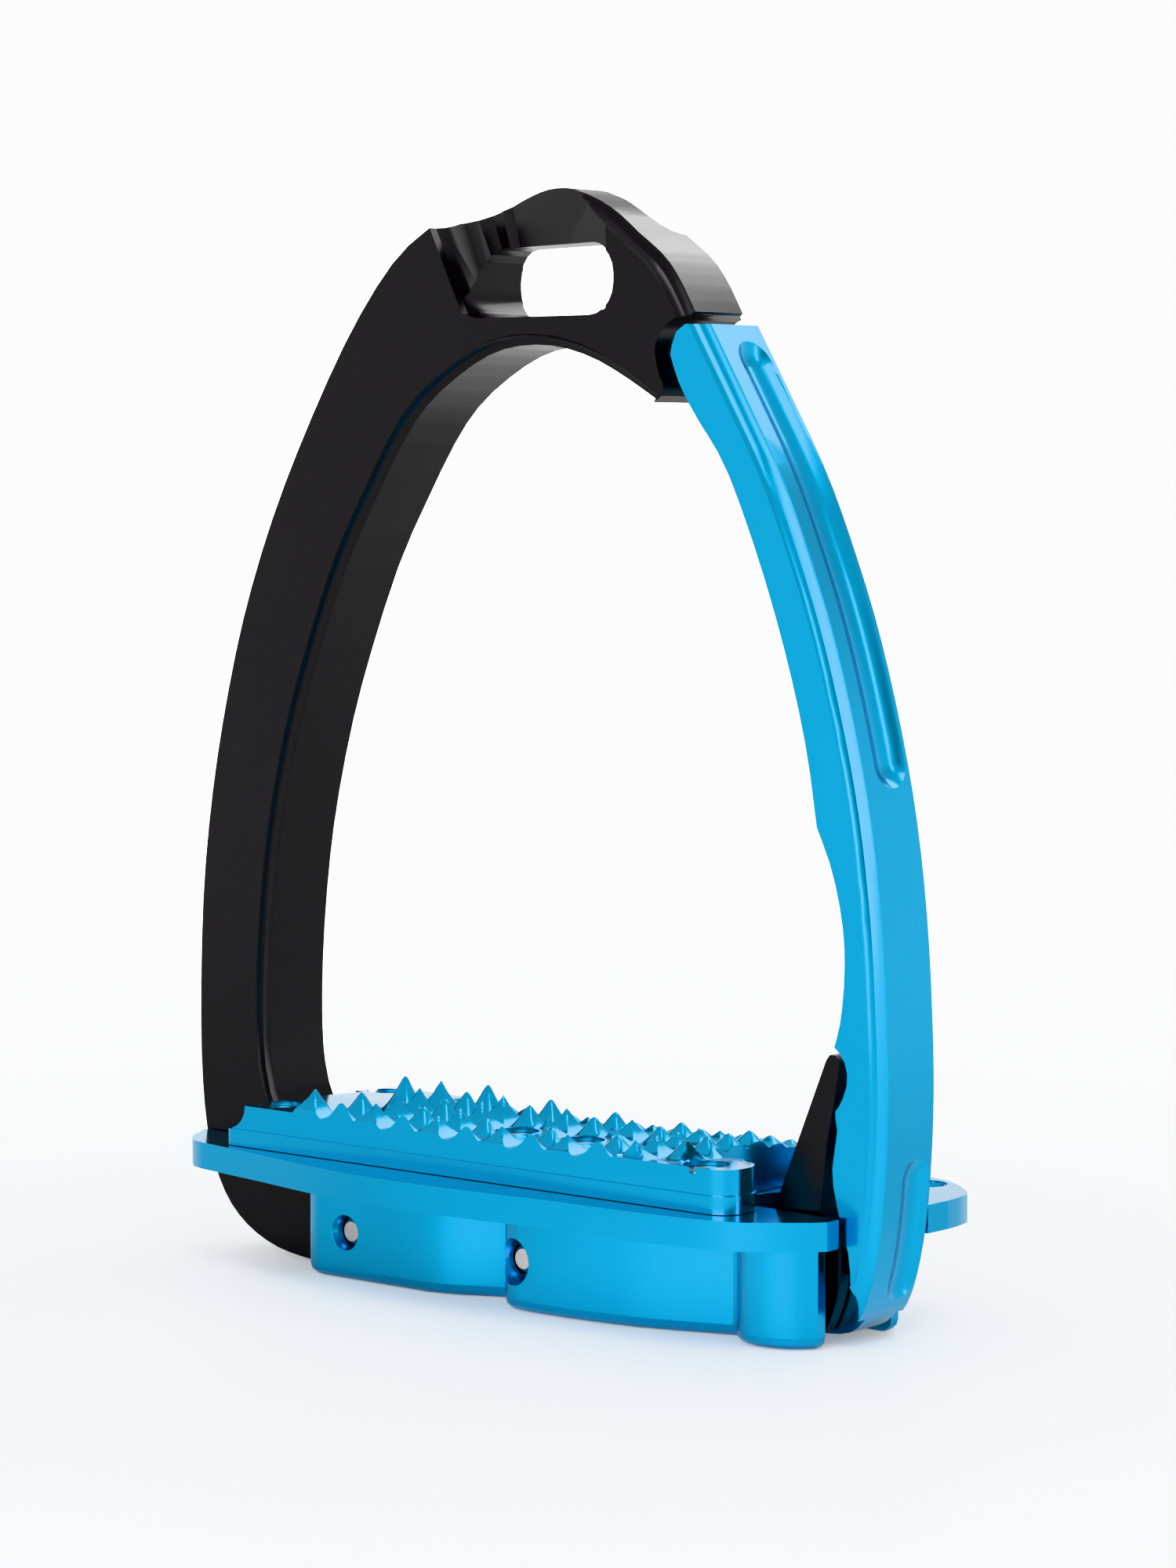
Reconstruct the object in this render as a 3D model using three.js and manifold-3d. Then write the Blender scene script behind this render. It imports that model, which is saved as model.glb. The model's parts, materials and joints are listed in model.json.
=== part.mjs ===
// Safety stirrup iron with an opening side arm and a release lever.
// Millimetres, +Z up, +X towards the opening arm, -Y the front.
// The origin is on the underside of the base, in the mid-plane of the frame.

import * as THREE from 'three';
import { mergeVertices } from 'three/addons/utils/BufferGeometryUtils.js';
import Module from 'manifold-3d';

const wasm = await Module();
wasm.setup();

// ---------- driving dimensions ----------

const GAP = 0.3;                 // clearance round a piece that sits in a pocket
const SEAT = 0.1;                // clearance between stacked flat faces
const HALF_BAR = 7.4;            // half the frame's and the arm's width, front to back

const BASE_TOP = 14.4;           // height of the base housing
const PLATE_BOTTOM = BASE_TOP + SEAT;
const PLATE_TOP = 18.6;
const TREAD_BOTTOM = PLATE_TOP + SEAT;
const TREAD_STEP = 21.2;         // top of the tread's lower tier
const TREAD_FLAT = 24.9;         // flat land round the tread's screws

const TONGUE = { low: 2.8, high: 13.9, end: 16, start: -37.9 };

const DOWEL_RADIUS = 2;
const DOWEL_HALF = 13.2;
const DOWELS = { dowel_left: [-28.2, 7.3], dowel_right: [6.2, 7.3] };

const LEVER_PIVOT = { x: 38.5, z: 10.4 };
const LEVER_HALF = 6.2;
const LEVER_HUB = 3.2;
const LEVER_PIN_HALF = 9.6;
const LEVER_FOOT = { x: 38.5, z: 12.4, radius: 20.3 };   // the round outer edge of the lever's foot

const ARM_PIVOT = { x: 53.5, z: 6.2 };
const TOE_RADIUS = 5;
const TONGUE_HALF = 3.6;         // half the width of the arm's hinge tongue
const PIN_RADIUS = 2;
const ARM_PIN_HALF = 10.4;
const BUSH_RADIUS = 2.9;

const BOLT = { z: 5, radius: 1.9, left: 28.3, right: 48.2 };
const BOLT_BORE = { left: 18, radius: 2.2 };

const EYE = { left: -12, right: 18.4, low: 143.9, high: 154.3, corner: 4.6 };
const CROWN_MIDDLE = 2.7;        // the leather eye sits this far outboard of the foot opening

// Spikes repeat every period: a round hump, a narrow valley, a sharp tooth and a wide valley.
const SPIKE = {
  firstX: -39.36, period: 12.56, steps: [0, 3, 5.2, 8.8], periods: 7, firstY: -17, pitchY: 4.8, rows: 15,
};

// ---------- finishes ----------

const BLACK = { color: 0x26242a, roughness: 0.35, metalness: 0.9 };
const BLUE = { color: 0x0a9fd8, roughness: 0.28, metalness: 0.9 };
const STEEL = { color: 0xc4c2c0, roughness: 0.3, metalness: 1 };
const BRONZE = { color: 0xa77d3c, roughness: 0.4, metalness: 1 };

// ---------- solids ----------

function toSolid(geometry) {
  const bare = geometry.clone();
  for (const name of Object.keys(bare.attributes)) {
    if (name !== 'position') bare.deleteAttribute(name);
  }
  const merged = mergeVertices(bare, 1e-4);
  const mesh = new wasm.Mesh({
    numProp: 3,
    vertProperties: new Float32Array(merged.attributes.position.array),
    triVerts: new Uint32Array(merged.index.array),
  });
  return new wasm.Manifold(mesh);
}

function toGeometry(solid) {
  const mesh = solid.getMesh();
  const geometry = new THREE.BufferGeometry();
  geometry.setAttribute('position', new THREE.BufferAttribute(new Float32Array(mesh.vertProperties), 3));
  geometry.setIndex(new THREE.BufferAttribute(new Uint32Array(mesh.triVerts), 1));
  geometry.computeVertexNormals();
  return geometry;
}

function cut(solid, ...tools) {
  return tools.reduce((body, tool) => body.subtract(tool), solid);
}

function join(solid, ...others) {
  return others.reduce((body, other) => body.add(other), solid);
}

// A side-view outline of [x, z] points, solid from y0 to y1.
function slab(points, y0, y1) {
  const shape = new THREE.Shape(points.map(([x, z]) => new THREE.Vector2(x, z)));
  const geometry = new THREE.ExtrudeGeometry(shape, { depth: y1 - y0, bevelEnabled: false });
  geometry.rotateX(Math.PI / 2);
  geometry.translate(0, y1, 0);
  return toSolid(geometry);
}

// A plan-view outline of [x, y] points, solid from z0 to z1.
function block(points, z0, z1) {
  const shape = new THREE.Shape(points.map(([x, y]) => new THREE.Vector2(x, y)));
  const geometry = new THREE.ExtrudeGeometry(shape, { depth: z1 - z0, bevelEnabled: false });
  geometry.translate(0, 0, z0);
  return toSolid(geometry);
}

function box(x0, x1, y0, y1, z0, z1) {
  const geometry = new THREE.BoxGeometry(x1 - x0, y1 - y0, z1 - z0);
  geometry.translate((x0 + x1) / 2, (y0 + y1) / 2, (z0 + z1) / 2);
  return toSolid(geometry);
}

// A solid of revolution from [radius, height] points, its axis through (x, y) along +Z.
function turned(profile, x, y, z, sides = 20) {
  const points = profile.map(([r, h]) => new THREE.Vector2(r, h));
  const geometry = new THREE.LatheGeometry(points, sides);
  geometry.rotateX(Math.PI / 2);
  geometry.translate(x, y, z);
  return toSolid(geometry);
}

// The same, with its axis along +Y or +X.
function turnedY(profile, x, z, sides = 20) {
  const geometry = new THREE.LatheGeometry(profile.map(([r, h]) => new THREE.Vector2(r, h)), sides);
  geometry.translate(x, 0, z);
  return toSolid(geometry);
}

function turnedX(profile, y, z, sides = 20) {
  const geometry = new THREE.LatheGeometry(profile.map(([r, h]) => new THREE.Vector2(r, h)), sides);
  geometry.rotateZ(-Math.PI / 2);
  geometry.translate(0, y, z);
  return toSolid(geometry);
}

function rodProfile(radius, low, high) {
  return [[0, low], [radius, low], [radius, high], [0, high]];
}

function rodY(radius, low, high, x, z, sides) {
  return turnedY(rodProfile(radius, low, high), x, z, sides);
}

function rodX(radius, low, high, y, z, sides) {
  return turnedX(rodProfile(radius, low, high), y, z, sides);
}

// A smooth line through [a, b] points.
function smooth(points, steps) {
  const curve = new THREE.SplineCurve(points.map(([a, b]) => new THREE.Vector2(a, b)));
  return curve.getPoints(steps).map((p) => [p.x, p.y]);
}

function arc(cx, cy, radius, from, to, steps) {
  const points = [];
  for (let i = 0; i <= steps; i += 1) {
    const angle = THREE.MathUtils.degToRad(from + ((to - from) * i) / steps);
    points.push([cx + radius * Math.cos(angle), cy + radius * Math.sin(angle)]);
  }
  return points;
}

function roundedBox(x0, x1, y0, y1, radius, steps) {
  return [
    ...arc(x1 - radius, y0 + radius, radius, -90, 0, steps),
    ...arc(x1 - radius, y1 - radius, radius, 0, 90, steps),
    ...arc(x0 + radius, y1 - radius, radius, 90, 180, steps),
    ...arc(x0 + radius, y0 + radius, radius, 180, 270, steps),
  ];
}

// A round groove of the given section swept along a side-view line at depth y.
function groove(points, y, radiusAcross, radiusDeep, sides = 10) {
  const path = new THREE.CatmullRomCurve3(points.map(([x, z]) => new THREE.Vector3(x, y, z)));
  const section = new THREE.Shape();
  section.absellipse(0, 0, radiusDeep, radiusAcross, 0, Math.PI * 2, false, 0);
  const steps = points.length - 1;
  const geometry = new THREE.ExtrudeGeometry(section, {
    extrudePath: path, steps, curveSegments: sides, bevelEnabled: false,
  });
  return toSolid(geometry);
}

// Each point of an open line moved sideways by distance, to the left of its direction.
function shifted(points, distance) {
  return points.map(([a, b], i) => {
    const before = points[Math.max(i - 1, 0)];
    const after = points[Math.min(i + 1, points.length - 1)];
    const length = Math.hypot(after[0] - before[0], after[1] - before[1]);
    const da = -((after[1] - before[1]) / length) * distance;
    const db = ((after[0] - before[0]) / length) * distance;
    return [a + da, b + db];
  });
}

const mirrored = (points) => points.map(([x, y]) => [x, -y]).reverse();

// ---------- frame ----------

const FRAME_OUTER = smooth([
  [TONGUE.start, 0.4], [-44, 0.7], [-50.6, 1.9], [-56.6, 4.7],
  [-61, 9], [-64, 15.5], [-65.6, 24], [-66.1, 37],
  [-65.4, 55], [-63.4, 70.5], [-60.2, 85.3], [-55.8, 100], [-49.7, 114.5], [-41.9, 128.8], [-32.8, 142.8],
  [-23.8, 153], [-15.6, 158.1],
], 44);

const FRAME_CROWN = smooth([
  [-15.6, 158.1], [-8.7, 159.4], [-3.6, 160.9], [1, 162], [5, 162.4], [9.4, 162], [14.4, 160.2], [18.2, 158],
  [21.4, 155.5],
], 16);

const FRAME_CAP = smooth([[21.4, 155.5], [26.2, 152], [29.2, 148.4], [31.8, 144]], 7);

const FRAME_SOCKET = smooth([
  [30.8, 143.5], [28.2, 142.3], [26.5, 140.3], [26.1, 138.4], [26.7, 135.6], [27.7, 133.6], [27.4, 132.2],
], 10);

const FRAME_INNER = smooth([
  [25.9, 131.3], [19.9, 134.7], [13.8, 137.6], [7.5, 139.4], [1.2, 139.9], [-5.2, 139], [-11.5, 136.3],
  [-18.3, 131.9], [-23.4, 126.5], [-29.4, 117.6], [-35.6, 107.2], [-41.6, 93.5], [-45.6, 82.4], [-48.8, 70.4],
  [-50.7, 60], [-52, 48], [-52.4, 37], [-51.9, 29.4],
  [-50.2, 24], [-46.9, 19], [-44, 15.8], [-40.4, TONGUE.high],
], 44);

const FRAME_COVE = 1.6;          // radius of the cove along the inner edges
const CAP_COVE = 2;              // radius of the cove along the cap's outer edges

function frameOutline() {
  return [
    [TONGUE.start, TONGUE.low], ...FRAME_OUTER, ...FRAME_CROWN.slice(1), ...FRAME_CAP.slice(1),
    [31.3, 143.6], ...FRAME_SOCKET, ...FRAME_INNER, [TONGUE.end, TONGUE.high], [TONGUE.end, TONGUE.low],
  ];
}

// The leather passes the eye at an angle, so the front left and the back right of it are milled away.
function eyeScoop() {
  const plan = [
    [17, -HALF_BAR - 1], [17, -HALF_BAR + 0.2], [-2, -1.6],
    ...arc(-5.6, -6, 5, 60, 180, 6), [-10.6, -HALF_BAR - 1],
  ];
  const lean = 0.5;
  const ledge = 144.6;
  const height = 20;
  const shape = new THREE.Shape(plan.map(([x, y]) => new THREE.Vector2(x, y)));
  const geometry = new THREE.ExtrudeGeometry(shape, { depth: height, bevelEnabled: false });
  const position = geometry.attributes.position;
  for (let i = 0; i < position.count; i += 1) {
    const x = position.getX(i);
    const share = THREE.MathUtils.clamp((CROWN_MIDDLE - x) / 10, 0, 1);
    position.setX(i, x - lean * share * position.getZ(i));
  }
  geometry.translate(0, 0, ledge);
  return toSolid(geometry);
}

function halfTurned(solid, middle) {
  const geometry = toGeometry(solid);
  geometry.rotateZ(Math.PI);
  geometry.translate(2 * middle, 0, 0);
  return toSolid(geometry);
}

function makeFrame() {
  const body = slab(frameOutline(), -HALF_BAR, HALF_BAR);
  const tools = [slab(roundedBox(EYE.left, EYE.right, EYE.low, EYE.high, EYE.corner, 5), -9, 9)];
  const scoop = eyeScoop();
  tools.push(scoop, halfTurned(scoop, CROWN_MIDDLE));
  const capLine = [...FRAME_CROWN.slice(10), ...FRAME_CAP.slice(1), [32.6, 142.4]];
  for (const side of [-1, 1]) {
    tools.push(groove(FRAME_INNER, side * HALF_BAR, FRAME_COVE, FRAME_COVE, 8));
    tools.push(groove(capLine, side * HALF_BAR, CAP_COVE, CAP_COVE, 8));
  }
  for (const [x, z] of Object.values(DOWELS)) {
    tools.push(rodY(DOWEL_RADIUS + 0.2, -9, 9, x, z, 20));
  }
  return cut(body, ...tools);
}

// ---------- base housing ----------

const BASE_RIGHT = 57.2;

const BASE_FRONT = [
  ...arc(-33.9, -11, 3.6, 180, 270, 4),
  ...smooth([[-24, -14.6], [-12.5, -14.5], [-6.5, -12.8], [-1.5, -10.4], [1.6, -9.6]], 8),
  ...smooth([
    [2.6, -9.8], [3, -12.6], [4.4, -15], [7.4, -16], [16, -15.9], [26, -14.7], [34, -12.5], [42.4, -9.6],
  ], 16),
  ...smooth([[43.6, -9.8], [45, -12.2], [48, -13.6], [51.4, -13.4], [54.8, -12], [BASE_RIGHT, -9.4]], 9),
];
const BASE_EDGE = 1.8;           // radius round the lower edge
const FORK_HALF = HALF_BAR + GAP;

function baseOutline(inset) {
  const front = shifted(BASE_FRONT, inset);
  const right = [BASE_RIGHT - inset, -5];
  return [...front, right, [right[0], 5], ...mirrored(front)];
}

// Stacked plan outlines, each [z, points] with the same number of points.
function stacked(levels) {
  const count = levels[0][1].length;
  const vertices = levels.flatMap(([z, points]) => points.flatMap(([x, y]) => [x, y, z]));
  const faces = [];
  for (let k = 0; k + 1 < levels.length; k += 1) {
    for (let i = 0; i < count; i += 1) {
      const a = k * count + i;
      const b = k * count + ((i + 1) % count);
      faces.push(a, b, b + count, a, b + count, a + count);
    }
  }
  const flat = (points) => points.map(([x, y]) => new THREE.Vector2(x, y));
  const cap = (points) => THREE.ShapeUtils.triangulateShape(flat(points), []);
  for (const [a, b, c] of cap(levels[0][1])) faces.push(a, c, b);
  const top = (levels.length - 1) * count;
  for (const [a, b, c] of cap(levels[levels.length - 1][1])) faces.push(top + a, top + b, top + c);
  const geometry = new THREE.BufferGeometry();
  geometry.setAttribute('position', new THREE.BufferAttribute(new Float32Array(vertices), 3));
  geometry.setIndex(faces);
  return toSolid(geometry);
}

function makeBase() {
  const body = stacked([
    [0, baseOutline(BASE_EDGE)], [0.3, baseOutline(BASE_EDGE * 0.5)], [0.9, baseOutline(BASE_EDGE * 0.13)],
    [BASE_EDGE, baseOutline(0)], [BASE_TOP, baseOutline(0)],
  ]);
  const tools = [
    box(-45, TONGUE.end + GAP, -FORK_HALF, FORK_HALF, TONGUE.low - GAP, 20),
    box(LEVER_PIVOT.x - 5, 48, -LEVER_HALF - GAP, LEVER_HALF + GAP, 2.6, 20),
    box(47.2, 65, -FORK_HALF, FORK_HALF, -5, 20),
    rodX(BOLT_BORE.radius, BOLT_BORE.left, 50, 0, BOLT.z, 20),
    rodY(PIN_RADIUS + 0.2, -ARM_PIN_HALF - 0.4, ARM_PIN_HALF + 0.4, ARM_PIVOT.x, ARM_PIVOT.z, 20),
    rodY(DOWEL_RADIUS + 0.2, -LEVER_PIN_HALF - 0.3, 20, LEVER_PIVOT.x, LEVER_PIVOT.z, 20),
  ];
  for (const [x, z] of Object.values(DOWELS)) {
    tools.push(rodY(DOWEL_RADIUS + 0.2, -20, 20, x, z, 20));
    for (const side of [-1, 1]) {
      const flare = [[0, 13.8], [2.2, 13.8], [3.6, 16], [3.6, 18], [0, 18]].map(([r, h]) => [r, h * side]);
      tools.push(turnedY(side > 0 ? flare : flare.reverse(), x, z, 20));
    }
  }
  for (const [x, y] of Object.values(PLATE_SCREWS)) {
    tools.push(turned(rodProfile(1.7, 5, 20), x, y, 0, 12));
  }
  return cut(body, ...tools);
}

// ---------- footbed plate ----------

const PLATE_FRONT = [
  [-65, -7.9], [-63.4, -10.3],
  ...smooth([
    [-62, -13.2], [-58.1, -17], [-51.3, -18.5], [-40, -20.5], [-28.1, -22.9], [-14.4, -24.5],
    [1.1, -24.3], [18.3, -22.6], [33, -22], [48.2, -20], [53.7, -16.8], [58.6, -12.7],
  ], 22),
  [59.9, -10.9], [59.9, -8.3],
];

const PLATE_REAR = [
  [62.3, 9.4],
  ...smooth([
    [62.4, 14], [61.4, 20.2], [58.1, 23.9], [54.5, 26.7], [49.4, 28.7], [34, 28.6], [14, 27.6],
    [-8, 26.2], [-26, 24], [-40, 21.2], [-51.3, 18.7], [-58.1, 17], [-62, 13.2],
  ], 24),
  [-63.4, 10.3], [-65, 7.9],
];

const PLATE_NOTCH = { left: -40.2, halfLeft: 7.9, right: 45.4, halfRight: 7 };

const PLATE_SCREWS = {
  plate_screw_front_left: [-34, -11],
  plate_screw_rear_left: [-34, 11],
  plate_screw_front_right: [28, -10],
  plate_screw_rear_right: [28, 10],
};

const TREAD_SCREWS = {
  tread_screw_front_left: [-44.3, -12],
  tread_screw_rear_left: [-44.3, 12],
  tread_screw_front_right: [40.6, -13.4],
  tread_screw_rear_right: [40.6, 13.4],
  tread_screw_middle_left: [0.6, -8],
  tread_screw_middle_right: [13.2, -8],
};

const SCREW = { head: 2.9, headDepth: 1.7, shank: 1.4 };
const SCREW_SINK = 0.7;          // how far the tread's screws sit below its land

function countersink(x, y, top, depth) {
  const profile = [
    [0, top - depth], [SCREW.shank + 0.3, top - depth], [SCREW.shank + 0.3, top - SCREW.headDepth - 0.5],
    [SCREW.head + 0.35, top - 0.15], [SCREW.head + 0.35, top + 12], [0, top + 12],
  ];
  return turned(profile, x, y, 0, 16);
}

function makePlate() {
  const { left, halfLeft, right, halfRight } = PLATE_NOTCH;
  const outline = [
    [left, -halfLeft], ...PLATE_FRONT,
    ...arc(right, 0, halfRight, 270, 90, 10),
    ...PLATE_REAR, [left, halfLeft],
  ];
  const body = block(outline, PLATE_BOTTOM, PLATE_TOP);
  const tools = Object.values(PLATE_SCREWS).map(([x, y]) => countersink(x, y, PLATE_TOP - 0.3, 8));
  for (const [x, y] of Object.values(TREAD_SCREWS)) {
    tools.push(turned(rodProfile(SCREW.shank + 0.25, treadScrewEnd(x) - 0.4, 25), x, y, 0, 12));
  }
  tools.push(countersink(51.5, 23.6, PLATE_TOP - 0.3, 8));
  return cut(body, ...tools);
}

// The end screws pass right through the plate; the middle ones stop inside it, above the frame's tongue.
function treadScrewEnd(x) {
  return Math.abs(x) > 20 ? PLATE_BOTTOM - 0.7 : PLATE_BOTTOM + 1.2;
}

// ---------- tread plate ----------

const TREAD = { left: -51, right: 47.3, half: 17, corner: 1, front: 3.6, inner: 4.4 };
const TREAD_NOTCH = { left: -45.6, halfLeft: 8, right: 37.5, halfRight: 7.7 };

function treadOutline(inset) {
  const left = TREAD.left + inset;
  const right = TREAD.right - inset;
  const half = TREAD.half - inset;
  const { corner, front, inner } = TREAD;
  const edge = [
    [TREAD_NOTCH.left, -TREAD_NOTCH.halfLeft], [left, -TREAD_NOTCH.halfLeft],
    ...arc(left + corner, -half + corner, corner, 180, 270, 3),
    ...arc(right - front, -half + front, front, 270, 360, 4),
    ...arc(right - inner, -TREAD_NOTCH.halfRight - inner, inner, 0, 90, 4),
    [TREAD_NOTCH.right, -TREAD_NOTCH.halfRight],
  ];
  return [...edge, ...mirrored(edge)];
}

const TALL_ROWS_END = 2.5;       // behind this depth the spikes are low, and sink towards the rear edge

function valley(x, y) {
  return 23.8 + 0.0006 * x * x - 0.12 * Math.max(y - TALL_ROWS_END, 0);
}

// Height of the spikes' tips: crowned over the front, low over the rear.
function crest(x, y) {
  if (y > TALL_ROWS_END) return valley(x, y) + 2.6 - 0.12 * (y - TALL_ROWS_END);
  return 27.98 - 0.056 * x + 0.067 * y + 0.00116 * x * x - 0.0028 * x * y - 0.0008 * y * y;
}

function land(y) {
  return TREAD_FLAT - 0.05 * Math.max(y, 0);
}

// Flat ground at both ends, along the front right edge, round the screws and at a few missing spikes.
function onLand(x, y) {
  const near = (spots, reach) => spots.some(([a, b]) => Math.hypot(x - a, y - b) < reach);
  if (x < -37 || x > 43 || (x < -30 && y > -13) || (x > 26 && y < -15)) return true;
  return near(Object.values(TREAD_SCREWS), 3.9) || near([[-26.8, -7.4], [-26.8, 2.2], [23.4, -7.4]], 1);
}

// Humps stand on the whole rows and teeth on the half rows between them.
function treadHeight(x, y, step, row) {
  if (onLand(x, y)) return land(y);
  const isHump = step === 0;
  const isTooth = step === 2;
  if ((isHump && row % 2 === 0) || (isTooth && row % 2 === 1)) return crest(x, y);
  return valley(x, y) + (isHump || isTooth ? 0.6 : 0);
}

function spikes() {
  const columns = [];
  for (let k = 0; k < SPIKE.periods; k += 1) {
    SPIKE.steps.forEach((offset, step) => columns.push([SPIKE.firstX + k * SPIKE.period + offset, step]));
  }
  columns.unshift([-60, 1]);
  columns.push([60, 1]);
  const vertices = [];
  for (const [x, step] of columns) {
    for (let j = 0; j <= SPIKE.rows; j += 1) {
      const y = SPIKE.firstY + (j * SPIKE.pitchY) / 2;
      vertices.push(x, y, treadHeight(x, y, step, j));
    }
  }
  return heightField(vertices, columns.length - 1, SPIKE.rows, TREAD_BOTTOM + 1);
}

// A grid of columns by rows cells over the given heights, closed down to a flat floor.
function heightField(vertices, columns, rows, low) {
  const width = rows + 1;
  const floor = vertices.length / 3;
  for (let i = 0; i < floor; i += 1) vertices.push(vertices[3 * i], vertices[3 * i + 1], low);
  const faces = [];
  const quad = (a, b, c, d) => faces.push(a, b, c, a, c, d);
  for (let i = 0; i < columns; i += 1) {
    for (let j = 0; j < rows; j += 1) {
      const a = i * width + j;
      quad(a, a + width, a + width + 1, a + 1);
      quad(floor + a + 1, floor + a + width + 1, floor + a + width, floor + a);
    }
  }
  const rim = [];
  for (let i = 0; i < columns; i += 1) rim.push(i * width);
  for (let j = 0; j < rows; j += 1) rim.push(columns * width + j);
  for (let i = columns; i > 0; i -= 1) rim.push(i * width + rows);
  for (let j = rows; j > 0; j -= 1) rim.push(j);
  rim.forEach((a, k) => {
    const b = rim[(k + 1) % rim.length];
    quad(a, floor + a, floor + b, b);
  });
  const geometry = new THREE.BufferGeometry();
  geometry.setAttribute('position', new THREE.BufferAttribute(new Float32Array(vertices), 3));
  geometry.setIndex(faces);
  return toSolid(geometry);
}

function makeTread() {
  const lower = block(treadOutline(0), TREAD_BOTTOM, TREAD_STEP);
  const upperOutline = block(treadOutline(0.4), TREAD_STEP - 0.5, 40);
  const coveRadius = TREAD_FLAT - TREAD_STEP;
  const endCove = rodY(coveRadius, -30, 30, TREAD.left, TREAD_FLAT, 24);
  const screws = Object.values(TREAD_SCREWS);
  const bosses = screws.map(([x, y]) => turned(rodProfile(3.7, 20, land(y)), x, y, 0, 16));
  const clear = screws.map(([x, y]) => turned(rodProfile(3.7, land(y), 40), x, y, 0, 16));
  const upper = join(cut(spikes(), ...clear), ...bosses).intersect(upperOutline);
  const tools = screws.map(([x, y]) => countersink(x, y, land(y) - SCREW_SINK, 12));
  return cut(join(lower, upper), endCove, ...tools);
}

// ---------- screws, dowels and pins ----------

function makeScrew(x, y, top, bottom) {
  const rim = 0.35;
  const socket = 1.1;
  const profile = [
    [0, bottom], [SCREW.shank - 0.3, bottom],
    [SCREW.shank, bottom + 0.4], [SCREW.shank, top - SCREW.headDepth],
    [SCREW.head, top - rim], [SCREW.head, top], [socket, top], [socket, top - 1.2], [0, top - 1.5],
  ];
  return turned(profile, x, y, 0, 14);
}

function makeDowel(x, z, half) {
  const edge = 0.5;
  const profile = [
    [0, -half], [DOWEL_RADIUS - edge, -half], [DOWEL_RADIUS, -half + edge],
    [DOWEL_RADIUS, half - edge], [DOWEL_RADIUS - edge, half], [0, half],
  ];
  return turnedY(profile, x, z, 20);
}

// ---------- release lever ----------

const BLADE_LEFT = [[56, 40.2], [46.8, 18]];
const BLADE_RIGHT = [[55.1, 19.2], [56.2, 28.4], [57.6, 35.2], [58.4, 40.2]];

function leverOutline() {
  const { x, z } = LEVER_PIVOT;
  return [
    ...arc(x, z, LEVER_HUB, 90, 236, 7),
    [x - 1.2, 5.4], [x + 1.2, 5.4], [x + 1.2, 8.6], [44, 8], [48, 4], [52, 1.9],
    ...arc(LEVER_FOOT.x, LEVER_FOOT.z, LEVER_FOOT.radius, -31, 6, 8),
    ...BLADE_RIGHT, [57.6, 41], [56.6, 41], ...BLADE_LEFT, [45.9, 14],
  ];
}

function makeLever() {
  const { x, z } = LEVER_PIVOT;
  const body = slab(leverOutline(), -LEVER_HALF, LEVER_HALF);
  const slot = [
    ...arc(ARM_PIVOT.x, ARM_PIVOT.z, PIN_RADIUS + 0.4, 135, 315, 6),
    ...arc(ARM_PIVOT.x + 0.5, ARM_PIVOT.z + 1.8, PIN_RADIUS + 0.4, -45, 135, 6),
  ];
  return cut(
    body,
    box(47.6, 60, -TONGUE_HALF - 0.5, TONGUE_HALF + 0.5, 0, 15.8),
    box(42.4, 50, -TONGUE_HALF - 0.5, TONGUE_HALF + 0.5, 0, 8.4),
    slab(slot, -9, 9),
    rodY(DOWEL_RADIUS + 0.2, -9, 9, x, z, 20),
    box(x - 4, x + 2, -LEVER_HALF - 1, -2.4, 0, 8.6),
    box(x - 4, x + 2, 2.4, LEVER_HALF + 1, 0, 8.6),
    box(x - 4, x + 4, -1.6, 1.6, z - 3.5, z + 4),
  );
}

// ---------- safety arm ----------

const ARM_OUTER = smooth([
  [34.6, 142.2], [40.2, 133], [46.9, 121.6], [51.6, 111.4],
  [56.1, 99.8], [60, 86.6], [62.9, 73.6], [64.8, 60],
  [65.8, 46], [66.1, 34], [65.5, 22], [64.2, 12.6], [62, 5.6], [58.6, 2], [ARM_PIVOT.x, 1.2],
], 44);

const ARM_INNER_UPPER = smooth([
  [34.2, 128.4], [39.1, 121.7], [45, 108.8], [49.8, 95.6], [53.2, 83.4], [55.1, 72.6],
], 14);

const ARM_INNER_RECESS = smooth([
  [55.1, 72.6], [57.8, 66.6], [59.6, 59.4], [60, 53], [59.4, 46.4], [58.3, 42.3],
], 12);

const ARM_INNER_LOWER = smooth([
  [58.3, 42.3], [60, 40.6], [60.6, 37.8], [59.6, 34.8], [58.5, 33.2], [58.9, 30.8], [58.4, 27.6], [58.1, 24],
  [59.4, 18.4], [61, 13.4], [61.3, 9.4],
], 18);

function armOutline() {
  const top = [[31.6, 142.2], [30, 141.2], [29.2, 139.4], [28.9, 138]];
  const chin = smooth([[32.6, 130.6], [30.4, 134.2], [28.9, 138]], 4);
  return [...ARM_OUTER, ...arc(ARM_PIVOT.x, ARM_PIVOT.z, TOE_RADIUS, 270, 90, 12),
    ...ARM_INNER_LOWER.slice().reverse(), ...ARM_INNER_RECESS.slice(0, -1).reverse(),
    ...ARM_INNER_UPPER.slice(0, -1).reverse(), ...chin.slice(0, -1),
    ...top.reverse()];
}

const ARM_COVE = 2.1;
const CHEEK_RADIUS = 7.8;         // clears the housing's corner as the arm swings
const UPPER_FLUTE = { radius: 5, depth: 1.5, y: 1, from: 2, to: 18 };
const LOWER_FLUTE = { radius: 5, depth: 1.1, y: 1.8, from: 31, to: 37 };

// The path of a round-ended hollow along the outer edge.
function flute({ radius, depth, y, from, to }) {
  const path = shifted(ARM_OUTER, radius - depth).slice(from, to);
  const ends = [path[0], path[path.length - 1]];
  const balls = ends.map(([x, z]) => toSolid(new THREE.SphereGeometry(radius, 40, 24).translate(x, y, z)));
  return [groove(path, y, radius, radius, 18), ...balls];
}

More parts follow.
